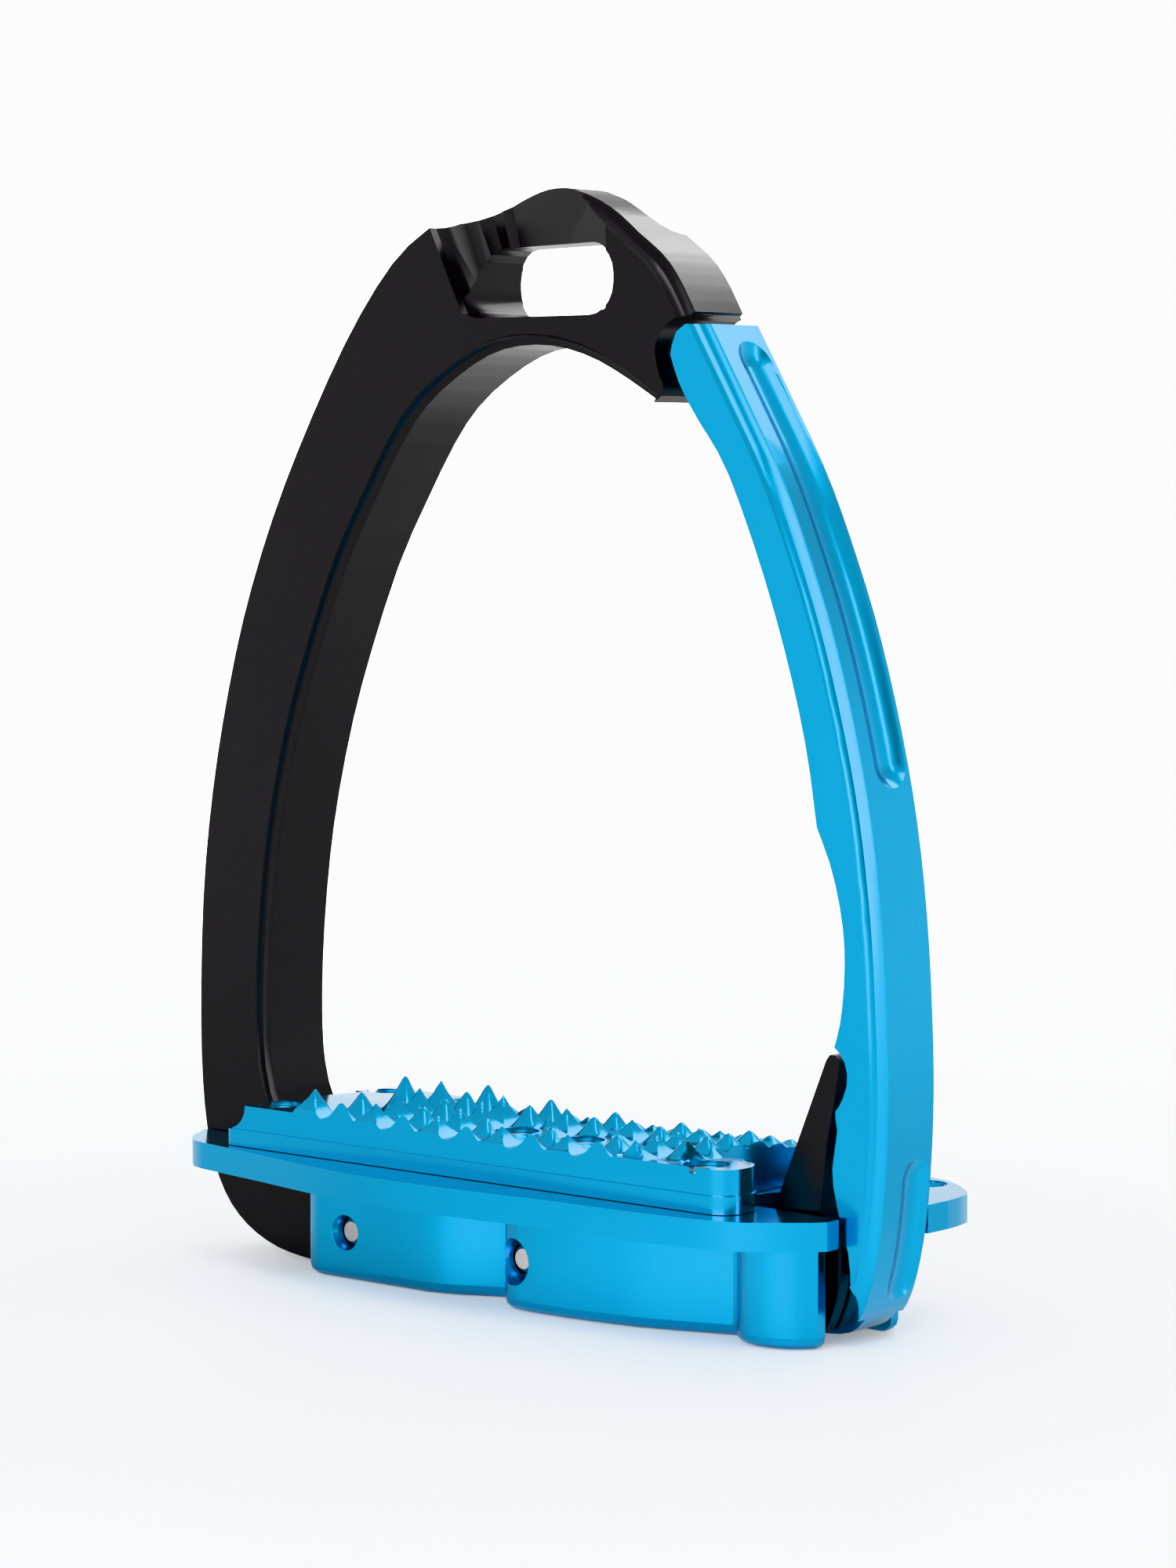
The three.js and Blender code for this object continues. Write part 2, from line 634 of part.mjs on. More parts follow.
function makeArm() {
  const body = slab(armOutline(), -HALF_BAR, HALF_BAR);
  const cheek = [
    [40, -2], [60, -2], ...arc(ARM_PIVOT.x, ARM_PIVOT.z, CHEEK_RADIUS, -28, 16, 8),
    [61.2, 9.5], [60, 11.5], [57, 15], [40, 15],
  ];
  const tools = [slab(cheek, TONGUE_HALF, 9), slab(cheek, -9, -TONGUE_HALF)];
  const edgeLine = [[33.6, 143.8], ...ARM_OUTER];
  for (const side of [-1, 1]) tools.push(groove(edgeLine, side * HALF_BAR, ARM_COVE, ARM_COVE, 8));
  tools.push(...flute(UPPER_FLUTE), ...flute(LOWER_FLUTE));
  tools.push(slab([[56, 18], [61.2, 18], [62.6, 24], [62.6, 40], [61.4, 43.4], [56, 43.4]],
    -LEVER_HALF - 0.5, LEVER_HALF + 0.5));
  tools.push(rodY(BUSH_RADIUS + 0.2, -9, 9, ARM_PIVOT.x, ARM_PIVOT.z, 20));
  tools.push(box(40, ARM_PIVOT.x - TOE_RADIUS + 0.9, -9, 9, 2.6, 7.4));
  return cut(body, ...tools);
}

function makeBush() {
  const { x, z } = ARM_PIVOT;
  const length = TONGUE_HALF - SEAT;
  const profile = [
    [PIN_RADIUS + 0.2, -length], [BUSH_RADIUS, -length], [BUSH_RADIUS, length], [PIN_RADIUS + 0.2, length],
    [PIN_RADIUS + 0.2, -length],
  ];
  return turnedY(profile, x, z, 20);
}

// ---------- latch ----------

function makeBolt() {
  const profile = [
    [0, BOLT.left], [BOLT.radius, BOLT.left],
    [BOLT.radius, BOLT.right - 0.8], [BOLT.radius - 0.8, BOLT.right],
    [0, BOLT.right],
  ];
  const body = turnedX(profile, 0, BOLT.z, 20);
  const { x } = LEVER_PIVOT;
  return cut(body, box(x - 1.6, x + 1.6, -4, 4, BOLT.z, 10));
}

function coil(start, end, radius, wire, turns, axisPoint) {
  const points = [];
  const steps = turns * 9;
  for (let i = 0; i <= steps; i += 1) {
    const angle = (i / steps) * turns * Math.PI * 2;
    const along = start + ((end - start) * i) / steps;
    points.push(axisPoint(along, radius * Math.cos(angle), radius * Math.sin(angle)));
  }
  const section = new THREE.Shape();
  section.absarc(0, 0, wire, 0, Math.PI * 2, false);
  const path = new THREE.CatmullRomCurve3(points);
  return toSolid(new THREE.ExtrudeGeometry(section, {
    extrudePath: path, steps, curveSegments: 3, bevelEnabled: false,
  }));
}

function makeLatchSpring() {
  const axisPoint = (t, a, b) => new THREE.Vector3(t, a, BOLT.z + b);
  return coil(BOLT_BORE.left + 0.6, BOLT.left - 1.2, 1.55, 0.3, 6, axisPoint);
}

function makeLeverSpring() {
  const { x, z } = LEVER_PIVOT;
  return coil(-1.1, 1.1, 2.9, 0.3, 2, (t, a, b) => new THREE.Vector3(x + a, t, z + b));
}

// ---------- assembly ----------

const stirrup = new THREE.Group();

function add(name, solid, finish) {
  const mesh = new THREE.Mesh(toGeometry(solid), new THREE.MeshStandardMaterial(finish));
  mesh.name = name;
  stirrup.add(mesh);
}

add('frame', makeFrame(), BLACK);
add('base_housing', makeBase(), BLUE);
add('footbed_plate', makePlate(), BLUE);
add('tread_plate', makeTread(), BLUE);
add('safety_arm', makeArm(), BLUE);
add('release_lever', makeLever(), BLACK);
add('arm_hinge_bush', makeBush(), BRONZE);
add('arm_hinge_pin', rodY(PIN_RADIUS, -ARM_PIN_HALF, ARM_PIN_HALF, ARM_PIVOT.x, ARM_PIVOT.z, 20), STEEL);
add('lever_pivot_pin', makeDowel(LEVER_PIVOT.x, LEVER_PIVOT.z, LEVER_PIN_HALF), STEEL);
for (const [name, [x, z]] of Object.entries(DOWELS)) add(name, makeDowel(x, z, DOWEL_HALF), STEEL);
for (const [name, [x, y]] of Object.entries(PLATE_SCREWS)) {
  add(name, makeScrew(x, y, PLATE_TOP - 0.3, 6), STEEL);
}
for (const [name, [x, y]] of Object.entries(TREAD_SCREWS)) {
  add(name, makeScrew(x, y, land(y) - SCREW_SINK, treadScrewEnd(x)), STEEL);
}
add('latch_bolt', makeBolt(), STEEL);
add('latch_spring', makeLatchSpring(), STEEL);
add('lever_spring', makeLeverSpring(), STEEL);

export default stirrup;
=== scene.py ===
import json
import math

import bmesh
import bpy
from mathutils import Matrix, Vector


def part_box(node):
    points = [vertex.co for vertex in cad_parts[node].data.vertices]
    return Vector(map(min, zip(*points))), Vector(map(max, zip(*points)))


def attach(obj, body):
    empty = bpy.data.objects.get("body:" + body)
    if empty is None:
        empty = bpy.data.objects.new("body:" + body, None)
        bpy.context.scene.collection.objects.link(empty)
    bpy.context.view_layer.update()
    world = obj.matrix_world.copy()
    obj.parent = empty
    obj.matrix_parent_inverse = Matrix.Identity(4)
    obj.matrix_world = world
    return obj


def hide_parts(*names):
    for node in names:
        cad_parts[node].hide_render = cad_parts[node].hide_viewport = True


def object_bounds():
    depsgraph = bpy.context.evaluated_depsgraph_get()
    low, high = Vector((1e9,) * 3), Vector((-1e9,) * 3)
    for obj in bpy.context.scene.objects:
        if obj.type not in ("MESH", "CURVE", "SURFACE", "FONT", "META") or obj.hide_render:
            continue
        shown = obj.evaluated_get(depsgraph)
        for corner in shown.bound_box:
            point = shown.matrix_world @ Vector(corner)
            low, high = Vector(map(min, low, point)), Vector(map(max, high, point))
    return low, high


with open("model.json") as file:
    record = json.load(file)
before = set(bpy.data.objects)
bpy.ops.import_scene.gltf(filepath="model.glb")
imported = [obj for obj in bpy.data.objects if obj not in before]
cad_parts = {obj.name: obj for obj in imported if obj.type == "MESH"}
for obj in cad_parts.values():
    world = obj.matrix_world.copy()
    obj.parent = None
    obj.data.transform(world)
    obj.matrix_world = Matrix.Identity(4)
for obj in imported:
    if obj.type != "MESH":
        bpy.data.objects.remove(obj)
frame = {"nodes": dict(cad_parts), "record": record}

cad_low, cad_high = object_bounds()

MM = 0.001
BODY_OF = {node: body for body, nodes in frame["record"]["behaviour"]["bodies"].items() for node in nodes}
SLOT_OF = {row["node"]: row["material_slot"] for row in frame["record"]["subparts"]}


# ---------- node trees ----------

class Graph:
    """A small helper for building a node tree."""

    def __init__(self, tree):
        self.tree = tree

    def add(self, kind, **values):
        node = self.tree.nodes.new(kind)
        for key, value in values.items():
            if key in node.inputs:
                node.inputs[key].default_value = value
            else:
                setattr(node, key, value)
        return node

    def link(self, source, target):
        self.tree.links.new(source, target)

    def noise(self, scale, detail, stretch=(1, 1, 1)):
        """Noise over the part's own coordinates, in cells per metre."""
        place = self.add("ShaderNodeTexCoord")
        mapping = self.add("ShaderNodeMapping", Scale=stretch)
        texture = self.add("ShaderNodeTexNoise", Scale=scale, Detail=detail)
        self.link(place.outputs["Object"], mapping.inputs["Vector"])
        self.link(mapping.outputs["Vector"], texture.inputs["Vector"])
        return texture.outputs["Fac"]

    def spread(self, value, low, high, from_low=0.3, from_high=0.7):
        """The value carried over from one range to another."""
        ends = {"From Min": from_low, "From Max": from_high, "To Min": low, "To Max": high}
        node = self.add("ShaderNodeMapRange", **ends)
        self.link(value, node.inputs["Value"])
        return node.outputs["Result"]

    def mix(self, factor, first, second):
        """Two colours mixed. Each is a socket or a plain colour."""
        node = self.add("ShaderNodeMix", data_type="RGBA")
        for socket, value in ((node.inputs[6], first), (node.inputs[7], second)):
            if isinstance(value, bpy.types.NodeSocket):
                self.link(value, socket)
            else:
                socket.default_value = (*value, 1)
        self.link(factor, node.inputs[0])
        return node.outputs[2]

    def bump(self, height, strength, distance):
        node = self.add("ShaderNodeBump", Strength=strength, Distance=distance)
        self.link(height, node.inputs["Height"])
        return node.outputs["Normal"]

    def vector(self, operation, source):
        node = self.add("ShaderNodeVectorMath", operation=operation)
        self.link(source, node.inputs[0])
        return node

    def share_towards(self, source, direction):
        """How nearly a unit vector points in a direction: 1 when it does, 0 when it is square to it."""
        node = self.vector("DOT_PRODUCT", source)
        node.inputs[1].default_value = direction
        return node.outputs["Value"]

    def blend(self, factor, first, second, output):
        """Two shaders mixed, as what the tree gives out."""
        node = self.add("ShaderNodeMixShader")
        for source, socket in zip((factor, first, second), node.inputs):
            self.link(source, socket)
        self.link(node.outputs[0], self.tree.nodes[output].inputs["Surface"])


class Material(Graph):
    """A material built round its Principled shader."""

    def __init__(self, name):
        self.block = bpy.data.materials.new(name)
        self.block.use_nodes = True
        super().__init__(self.block.node_tree)
        self.shader = self.tree.nodes["Principled BSDF"]

    def set(self, name, value):
        """A uniform value on the shader's own socket."""
        self.shader.inputs[name].default_value = value


# ---------- finishes ----------

def anodised(name, light, dark, worn, metallic, roughness, coat, specular):
    """Polished and dyed aluminium: slight shade changes, fine drawn grain and a few dull rub marks."""
    finish = Material(name)
    shade = finish.spread(finish.noise(22, 2), 0, 1)
    rub = finish.spread(finish.noise(210, 5, (1, 1, 0.3)), 0, 0.35, 0.62, 0.85)
    finish.link(finish.mix(rub, finish.mix(shade, light, dark), worn), finish.shader.inputs["Base Color"])
    gloss = finish.spread(finish.noise(60, 3), roughness - 0.02, roughness + 0.03)
    finish.link(gloss, finish.shader.inputs["Roughness"])
    grain = finish.bump(finish.noise(3800, 2, (1, 1, 0.12)), 0.035, 0.02 * MM)
    finish.link(grain, finish.shader.inputs["Normal"])
    finish.set("Metallic", metallic)
    finish.set("Specular IOR Level", specular)
    finish.set("Coat Weight", coat)
    finish.set("Coat Roughness", 0.07)
    return finish.block


def ground_metal(name, light, dark, roughness, stretch):
    """Bare ground metal with fine lines along its length."""
    finish = Material(name)
    lines = finish.noise(900, 5, stretch)
    stain = finish.spread(finish.noise(220, 4), 0, 1)
    finish.link(finish.mix(stain, light, dark), finish.shader.inputs["Base Color"])
    finish.link(finish.spread(lines, roughness - 0.08, roughness + 0.12), finish.shader.inputs["Roughness"])
    finish.link(finish.bump(lines, 0.16, 0.04 * MM), finish.shader.inputs["Normal"])
    finish.set("Metallic", 1)
    return finish.block


FINISHES = {
    "blue_anodised": anodised(
        "blue_anodised", light=(0, 0.345, 0.635), dark=(0, 0.325, 0.60), worn=(0.01, 0.35, 0.62),
        metallic=1, roughness=0.2, coat=0.5, specular=0.5),
    "black_anodised": anodised(
        "black_anodised", light=(0.0022, 0.0014, 0.0022), dark=(0.0032, 0.0022, 0.003),
        worn=(0.007, 0.0055, 0.0065), metallic=0, roughness=0.24, coat=0, specular=0.42),
    "steel": ground_metal(
        "steel", light=(0.62, 0.58, 0.57), dark=(0.48, 0.45, 0.44), roughness=0.3, stretch=(1, 0.2, 1)),
    "bronze": ground_metal(
        "bronze", light=(0.55, 0.33, 0.12), dark=(0.38, 0.2, 0.07), roughness=0.38, stretch=(1, 0.3, 1)),
}


def paint(piece, slot):
    piece.data.materials.clear()
    piece.data.materials.append(FINISHES[slot])


# ---------- pieces with rounded edges ----------

WELD = 0.003 * MM                     # points closer than this are one
FLAT = math.radians(0.8)              # faces that meet at less than this are one face
SMOOTH = math.radians(20)             # and edges below this are smooth

EDGES = {                             # edge radius in mm, its segments, and the least angle that is rounded
    "frame": (0.25, 3, 52),
    "base_housing": (0.45, 4, 50),
    "footbed_plate": (0.35, 4, 50),
    "safety_arm": (0.20, 3, 52),
    "release_lever": (0.35, 3, 34),
}


def link(name, data):
    thing = bpy.data.objects.new(name, data)
    bpy.context.scene.collection.objects.link(thing)
    return thing


def stand_in(piece, node):
    """The piece takes the place of a CAD node, with its finish, on its body."""
    paint(piece, SLOT_OF[node])
    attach(piece, BODY_OF[node])
    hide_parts(node)


def clean_mesh(node):
    """The node's own surface as one welded mesh whose flat faces are whole again."""
    mesh = frame["nodes"][node].data.copy()
    shell = bmesh.new()
    shell.from_mesh(mesh)
    bmesh.ops.remove_doubles(shell, verts=shell.verts, dist=WELD)
    bmesh.ops.dissolve_limit(shell, angle_limit=FLAT, verts=shell.verts, edges=shell.edges)
    shell.to_mesh(mesh)
    shell.free()
    mesh.shade_smooth()
    mesh.set_sharp_from_angle(angle=SMOOTH)
    return mesh


def round_edges(piece, radius, segments, angle):
    bevel = piece.modifiers.new("edge_radius", "BEVEL")
    bevel.width = radius
    bevel.segments = segments
    bevel.limit_method = "ANGLE"
    bevel.angle_limit = math.radians(angle)
    bevel.use_clamp_overlap = True
    bevel.harden_normals = False
    weighted = piece.modifiers.new("even_normals", "WEIGHTED_NORMAL")
    weighted.keep_sharp = True
    weighted.weight = 60


for node, (radius, segments, angle) in EDGES.items():
    piece = link(node + "_finish", clean_mesh(node))
    round_edges(piece, radius * MM, segments, angle)
    stand_in(piece, node)


# ---------- tread, in millimetres ----------

TREAD_LOW, TREAD_HIGH = (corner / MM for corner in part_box("tread_plate"))
STEP_TOP = TREAD_LOW.z + 2.5          # top of the lower tier
STEP_INSET = 0.4                      # the upper tier is this much smaller all round
LAND_TOP = TREAD_LOW.z + 6.2          # flat ground round the screws
ABOVE = 40                            # a height clear of the whole tread
BELOW = 10                            # and one under it

LEFT_NOTCH = (-45.6, 8)               # where the notch in the left end stops, and half its width
RIGHT_NOTCH = (37.5, 7.7)             # and the same for the notch in the right end
LEFT_CORNER = 1
RIGHT_CORNER = 3.6
HORN = (4.4, 12.1)                    # radius and middle of the rounding beside the right notch

LAND_ENDS = (-37.2, 43)               # flat ground past these, over the whole depth
LAND_LEFT = (-31, -12.6)              # and left of the first, behind the second
LAND_RIGHT = (27, -15.4)              # and right of the first, in front of the second
LAND_ROUND_SCREW = 3.7
LAND_SLOPE = 0.7

TALL_ROWS_END = 2.5                   # behind this depth the spikes are low
VALLEY_FLOOR = 23.8                   # the ground between the spikes, at the tread's middle
REAR_FALL = 0.12                      # how fast the ground and the spikes sink behind the tall rows
REAR_SPIKE = 2.6                      # height of the low spikes over their ground

FIRST_HUMP = TREAD_LOW.x + 11.64
PERIOD = 12.56                        # a hump, a narrow valley, a tooth and a wide valley
PERIODS = 7
TOOTH_OFFSET = 5.2
ROWS = 15
ROW = 2.4
BARE_SPOTS = ((-26.8, -7.4), (-26.8, 2.2), (23.4, -7.4))
HUMP_REACH = (3.7, 4.6, 3.4)          # how far a hump's flanks run to the right, to the left and across
TOOTH_REACH = (3.6, 5.2, 4.0)         # and a tooth's
REACH = (5.4, 4.2)                    # past this distance, along and across, no spike adds anything
HOLLOW = 2.1                          # how hollow a spike's flanks are: 1 is straight
TIP_RADIUS = 0.12                     # of a hump, as a share of its reach
GRID = 0.24

SHANK_HOLE = 1.7                      # radius of a tread screw's hole
HEAD_HOLE = 3.25                      # and of its countersink, which opens just under the screw's top
HEAD_DEPTH = 2.2
SMOOTH_TREAD = math.radians(26)


def screw_middle(node):
    low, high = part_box(node)
    return (low.x + high.x) / 2 / MM, (low.y + high.y) / 2 / MM, high.z / MM


SCREW_SPOTS = [screw_middle(node) for node in frame["nodes"] if node.startswith("tread_screw")]


def valley(x, y):
    return VALLEY_FLOOR + 0.0006 * x * x - REAR_FALL * max(y - TALL_ROWS_END, 0)


def crest(x, y):
    """Height of a spike's tip: crowned over the front, low over the rear."""
    if y > TALL_ROWS_END:
        return valley(x, y) + REAR_SPIKE - REAR_FALL * (y - TALL_ROWS_END)
    return 27.98 - 0.056 * x + 0.067 * y + 0.00116 * x * x - 0.0028 * x * y - 0.0008 * y * y


def land(y):
    return LAND_TOP - 0.05 * max(y, 0)


def land_share(x, y):
    """1 on the flat ground at the ends and round the screws, falling to 0 over a short slope."""
    inside = max(
        LAND_ENDS[0] - x, x - LAND_ENDS[1],
        min(LAND_LEFT[0] - x, y - LAND_LEFT[1]), min(x - LAND_RIGHT[0], LAND_RIGHT[1] - y))
    for a, b, _ in SCREW_SPOTS:
        inside = max(inside, LAND_ROUND_SCREW - math.hypot(x - a, y - b))
    share = min(max(inside / LAND_SLOPE + 1, 0), 1)
    return share * share * (3 - 2 * share)


def has_spike(x, y):
    bare = any(math.hypot(x - a, y - b) < 1 for a, b in BARE_SPOTS)
    return land_share(x, y) < 0.9 and not bare


def spike_tips():
    """Each tip as x, y, height and whether it is a sharp tooth. Rows of humps and of teeth take turns."""
    tips = []
    for k in range(PERIODS):
        for row in range(ROWS):
            tooth = row % 2 == 1
            x = FIRST_HUMP + k * PERIOD + (TOOTH_OFFSET if tooth else 0)
            y = TREAD_LOW.y + row * ROW
            if has_spike(x, y):
                tips.append((x, y, crest(x, y), tooth))
    return tips


def spike_share(dx, dy, tooth):
    """A spike's height over its reach: four hollow flanks, which meet in ridges on a tooth only."""
    right, left, across = TOOTH_REACH if tooth else HUMP_REACH
    along = abs(dx) / (right if dx > 0 else left)
    aside = abs(dy) / across
    if tooth:
        away = max(along, aside)
    else:
        away = math.hypot((along ** 4 + aside ** 4) ** 0.25, TIP_RADIUS) - TIP_RADIUS
    return max(1 - away, 0) ** HOLLOW


def tread_height(x, y, tips):
    ground = valley(x, y)
    height = ground
    for a, b, tip, tooth in tips:
        if abs(y - b) < REACH[1]:
            height = max(height, ground + (tip - ground) * spike_share(x - a, y - b, tooth))
    return height + (land(y) - height) * land_share(x, y)


def close_block(shell, bottom, top):
    """The underside and the sides of a block whose rims are given."""
    shell.faces.new(list(reversed(bottom)))
    for i in range(len(top)):
        j = (i + 1) % len(top)
        shell.faces.new((bottom[i], bottom[j], top[j], top[i]))


def spike_field():
    """The spiked surface as a closed block over the tread's whole area."""
    tips = spike_tips()
    columns = round((TREAD_HIGH.x - TREAD_LOW.x + 2) / GRID)
    rows = round((TREAD_HIGH.y - TREAD_LOW.y + 1) / GRID)
    shell = bmesh.new()
    top = []
    for i in range(columns + 1):
        x = TREAD_LOW.x - 1 + i * GRID
        near = [tip for tip in tips if abs(tip[0] - x) < REACH[0]]
        depths = [TREAD_LOW.y - 0.5 + j * GRID for j in range(rows + 1)]
        top.append([shell.verts.new((x, y, tread_height(x, y, near))) for y in depths])
    for i in range(columns):
        for j in range(rows):
            shell.faces.new((top[i][j], top[i + 1][j], top[i + 1][j + 1], top[i][j + 1]))
    rim = [line[0] for line in top[:-1]] + top[-1][:-1]
    rim += [line[-1] for line in reversed(top[1:])] + list(reversed(top[0][1:]))
    close_block(shell, [shell.verts.new((v.co.x, v.co.y, STEP_TOP - 0.5)) for v in rim], rim)
    return shell


def arc(x, y, radius, start, end, steps):
    angles = [math.radians(start + (end - start) * i / steps) for i in range(steps + 1)]
    return [(x + radius * math.cos(a), y + radius * math.sin(a)) for a in angles]


def tread_outline(inset):
    left = TREAD_LOW.x + inset
    right = TREAD_HIGH.x - inset
    half = TREAD_HIGH.y - inset
    radius, middle = HORN
    edge = [
        (LEFT_NOTCH[0], -LEFT_NOTCH[1]), (left, -LEFT_NOTCH[1]),
        *arc(left + LEFT_CORNER, LEFT_CORNER - half, LEFT_CORNER, 180, 270, 5),
        *arc(right - RIGHT_CORNER, RIGHT_CORNER - half, RIGHT_CORNER, 270, 360, 12),
        *arc(right - radius, -middle, radius, 0, 90, 14), (RIGHT_NOTCH[0], -RIGHT_NOTCH[1]),
    ]
    return edge + [(x, -y) for x, y in reversed(edge)]


def prism(outline, low, high):
    """A closed block over a plan outline."""
    shell = bmesh.new()
    bottom = [shell.verts.new((x, y, low)) for x, y in outline]
    top = [shell.verts.new((x, y, high)) for x, y in outline]
    shell.faces.new(top)
    close_block(shell, bottom, top)
    return shell


def turned(profile, x, y, sides=40):
    """A closed round solid from radius and height pairs that start and end on the axis."""
    shell = bmesh.new()
    rings = []
    for radius, z in profile:
        ring = [(x, y)] if radius == 0 else arc(x, y, radius, 0, 360 - 360 / sides, sides - 1)
        rings.append([shell.verts.new((a, b, z)) for a, b in ring])
    for low, high in zip(rings, rings[1:]):
        for i in range(sides):
            j = (i + 1) % sides
            if len(low) == 1:
                shell.faces.new((low[0], high[j], high[i]))
            elif len(high) == 1:
                shell.faces.new((low[i], low[j], high[0]))
            else:
                shell.faces.new((low[i], low[j], high[j], high[i]))
    return shell


def solid(shell, name):
    """A bmesh in millimetres as an object in metres."""
    bmesh.ops.scale(shell, vec=(MM, MM, MM), verts=shell.verts)
    bmesh.ops.recalc_face_normals(shell, faces=shell.faces)
    mesh = bpy.data.meshes.new(name)
    shell.to_mesh(mesh)
    shell.free()
    return link(name, mesh)


def combine(piece, tool, operation):
    """Cuts, joins or intersects the piece with the tool, which is used up."""
    change = piece.modifiers.new("change", "BOOLEAN")
    change.operation = operation
    change.solver = "MANIFOLD"
    change.object = tool
    bpy.context.view_layer.update()
    graph = bpy.context.evaluated_depsgraph_get()
    mesh = bpy.data.meshes.new_from_object(piece.evaluated_get(graph))
    piece.modifiers.clear()
    piece.data = mesh
    bpy.data.objects.remove(tool)


def end_cove():
    """The round tool that hollows the left end down to the lower tier."""
    radius = LAND_TOP - STEP_TOP
    shell = turned([(0, -30), (radius, -30), (radius, 30), (0, 30)], 0, 0, 72)
    bmesh.ops.rotate(shell, verts=shell.verts, matrix=Matrix.Rotation(math.pi / 2, 3, "X"))
    bmesh.ops.translate(shell, verts=shell.verts, vec=(TREAD_LOW.x, 0, LAND_TOP))
    return shell


def screw_hole(x, y, top):
    profile = [
        (0, BELOW), (SHANK_HOLE, BELOW), (SHANK_HOLE, top - HEAD_DEPTH),
        (HEAD_HOLE, top - 0.15), (HEAD_HOLE, ABOVE), (0, ABOVE),
    ]
    return turned(profile, x, y)


def make_tread():
    piece = solid(spike_field(), "tread_plate_finish")
    combine(piece, solid(prism(tread_outline(STEP_INSET), STEP_TOP - 0.3, ABOVE), "upper"), "INTERSECT")
    combine(piece, solid(prism(tread_outline(0), TREAD_LOW.z, STEP_TOP), "lower"), "UNION")
    combine(piece, solid(end_cove(), "cove"), "DIFFERENCE")
    for spot in SCREW_SPOTS:
        combine(piece, solid(screw_hole(*spot), "sink"), "DIFFERENCE")
    piece.data.shade_smooth()
    piece.data.set_sharp_from_angle(angle=SMOOTH_TREAD)
    stand_in(piece, "tread_plate")


make_tread()


# ---------- CAD nodes that stay, with their finish ----------

for node, obj in frame["nodes"].items():
    if not obj.hide_render:
        paint(obj, SLOT_OF[node])
        smooth = obj.modifiers.new("smooth_rounds", "WEIGHTED_NORMAL")
        smooth.keep_sharp = True


# ---------- floor, light and camera ----------

SEEN_WHITE = 3                        # how bright the surroundings look when seen directly
SEEN_COLOUR = (SEEN_WHITE, SEEN_WHITE, SEEN_WHITE)
GLOW_COLOUR = (1.2, 1.2, 1.2)         # the far floor as it lights and is reflected
PAINTED_LIGHT_SIDE = (0.6, -0.8, 0)             # painted light: the floor's colour in reflections and bounce light is painted paler on this side of the object and darker, as painted shade, on the other
GAP = (0.93, -0.33, 0.15)             # middle of the dimmer gap in the surroundings
SKY = ((0, 1), (0.5, 1.22), (0.6, 1.15), (0.72, 0.8), (1, 1))     # brightness, from underneath to overhead


def make_floor():
    """A pale floor that turns into the white surroundings with distance."""
    shell = bmesh.new()
    bmesh.ops.create_grid(shell, x_segments=2, y_segments=2, size=4)
    mesh = bpy.data.meshes.new("floor")
    shell.to_mesh(mesh)
    shell.free()
    floor = link("floor", mesh)
    floor.location.z = cad_low.z - 0.02 * MM
    white = Material("floor_white")
    white.set("Roughness", 0.5)
    place = white.add("ShaderNodeTexCoord").outputs["Object"]
    seen = white.add("ShaderNodeLightPath").outputs["Is Camera Ray"]
    # painted light and shade: rays that are not the camera's see the floor painted paler towards the front
    # right of the object and darker towards the back left, standing in for how it is lit
    toward_painted_light = white.share_towards(white.vector("NORMALIZE", place).outputs[0], PAINTED_LIGHT_SIDE)
    painted_light = white.spread(toward_painted_light, 0, 1, 0.1, 0.75)
    painted_light_and_shade = white.mix(painted_light, (0.62, 0.62, 0.62), (0.95, 0.95, 0.95))
    white.link(white.mix(seen, painted_light_and_shade, (0.93, 0.94, 0.96)), white.shader.inputs["Base Color"])
    far = white.spread(white.vector("LENGTH", place).outputs["Value"], 0.1, 1, 0.08, 0.5)
    glow = white.add("ShaderNodeEmission", Strength=1)
    white.link(white.mix(seen, GLOW_COLOUR, SEEN_COLOUR), glow.inputs["Color"])
    white.blend(far, white.shader.outputs[0], glow.outputs[0], "Material Output")
    floor.data.materials.append(white.block)


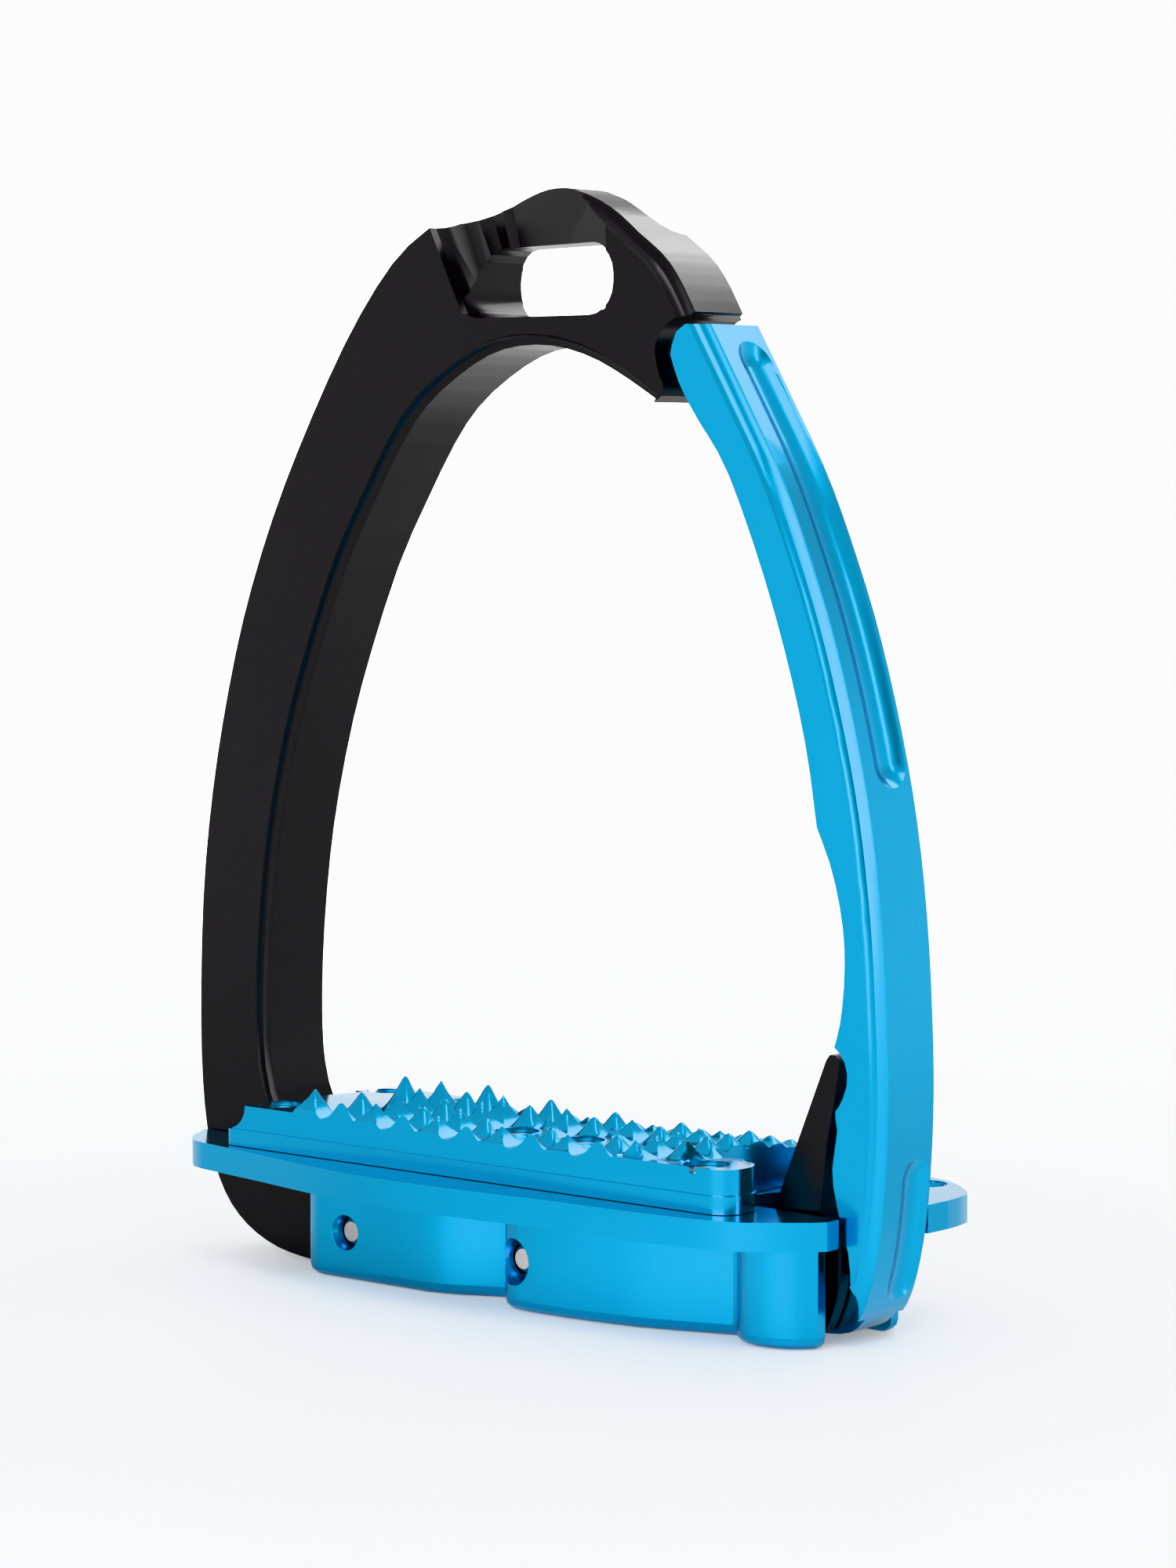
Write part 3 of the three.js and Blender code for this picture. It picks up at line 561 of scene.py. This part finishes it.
def make_world():
    """White surroundings with a soft gradient, and one dimmer gap for the polished sides to reflect."""
    world = bpy.data.worlds.new("studio")
    bpy.context.scene.world = world
    world.use_nodes = True
    studio = Graph(world.node_tree)
    place = studio.add("ShaderNodeTexCoord").outputs["Generated"]
    split = studio.add("ShaderNodeSeparateXYZ")
    studio.link(place, split.inputs[0])
    ramp = studio.add("ShaderNodeValToRGB")
    studio.link(studio.spread(split.outputs["Z"], 0, 1, -1, 1), ramp.inputs["Fac"])
    stops = ramp.color_ramp.elements
    for position, shade in SKY:
        stop = stops[0] if position == 0 else stops[-1] if position == 1 else stops.new(position)
        stop.color = (shade, shade, shade, 1)
    gap = studio.spread(studio.share_towards(place, GAP), 1, 0.35, 0.93, 0.985)
    dimmed = studio.vector("SCALE", ramp.outputs["Color"])
    studio.link(gap, dimmed.inputs["Scale"])
    sky = studio.tree.nodes["Background"]
    studio.link(dimmed.outputs[0], sky.inputs["Color"])
    plain = studio.add("ShaderNodeBackground", Color=(1, 1, 1, 1), Strength=SEEN_WHITE)
    seen = studio.add("ShaderNodeLightPath").outputs["Is Camera Ray"]
    studio.blend(seen, sky.outputs[0], plain.outputs[0], "World Output")


def look_at(thing, middle, azimuth, elevation, distance):
    """Places a lamp or the camera. Azimuths run from the front round to the right, in degrees."""
    a = math.radians(azimuth)
    e = math.radians(elevation)
    back = Vector((math.sin(a) * math.cos(e), -math.cos(a) * math.cos(e), math.sin(e)))
    thing.location = middle + back * distance
    thing.rotation_mode = "QUATERNION"
    thing.rotation_quaternion = (-back).to_track_quat("-Z", "Y")


def softbox(name, azimuth, elevation, distance, width, height, power):
    """An area light aimed at the middle of the object."""
    light = bpy.data.lights.new(name, "AREA")
    light.shape = "RECTANGLE"
    light.size = width
    light.size_y = height
    light.energy = power
    look_at(link(name, light), (cad_low + cad_high) / 2, azimuth, elevation, distance)


def make_camera():
    data = bpy.data.cameras.new("camera")
    data.sensor_width = 36
    data.lens = 97.5
    data.clip_start = 0.01
    data.clip_end = 20
    camera = link("camera", data)
    look_at(camera, Vector((7.4, 0, 75.9)) * MM, 40.4, 4.25, 622 * MM)
    bpy.context.scene.camera = camera


make_floor()
make_world()
softbox("front", 14, 9, 1.0, 0.9, 0.55, 4.2)
softbox("side_right", 100, 12, 0.9, 0.1, 0.7, 0.9)
softbox("top", 65, 62, 0.9, 0.5, 0.5, 2.6)
softbox("back", 178, 46, 0.9, 0.6, 0.35, 2.6)
make_camera()
bpy.context.scene.view_settings.view_transform = "Khronos PBR Neutral"
bpy.context.scene.view_settings.look = "None"
